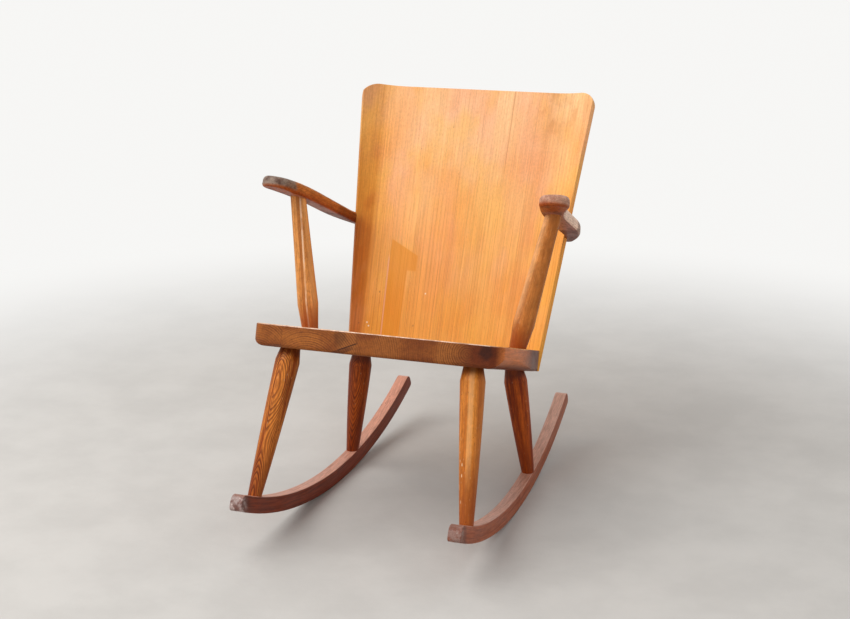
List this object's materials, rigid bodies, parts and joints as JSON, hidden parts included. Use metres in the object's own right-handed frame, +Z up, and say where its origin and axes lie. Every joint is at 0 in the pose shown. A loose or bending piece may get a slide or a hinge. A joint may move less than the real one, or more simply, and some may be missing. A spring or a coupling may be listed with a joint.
{
  "type": "rocking chair",
  "caption": "Wooden rocking chair with a solid seat, a tall panel back bent forward at its sides, turned legs and arm posts, short arms and curved rockers.",
  "frame": {"origin": "centre of the bounding box at floor level, under the chair as it balances at rest on its rockers", "axes": "+Z up, +Y towards the back of the chair, +X towards the left side of a person sitting in it"},
  "size_m": [0.634, 0.8456, 0.7945],
  "materials": {
    "seat_pine": "varnished, satin, worn on the front edge",
    "panel_pine": "varnished honey pine, glossy",
    "turned_pine": "varnished orange-brown pine, satin",
    "rocker_wood": "stained reddish brown, satin",
    "arm_wood": "varnished, worn to a grey-brown at the front end",
    "dowel_wood": "plain, unvarnished",
    "screw_steel": "plain steel"
  },
  "bodies": {
    "root": {"seat": "seat_pine", "back_panel": "panel_pine", "front_leg_left": "turned_pine", "front_leg_right": "turned_pine", "rear_leg_left": "turned_pine", "rear_leg_right": "turned_pine", "rocker_left": "rocker_wood", "rocker_right": "rocker_wood", "arm_post_left": "turned_pine", "arm_post_right": "turned_pine", "arm_left": "arm_wood", "arm_right": "arm_wood", "back_screws": "screw_steel", "arm_dowels": "dowel_wood"}
  },
  "joints": []
}
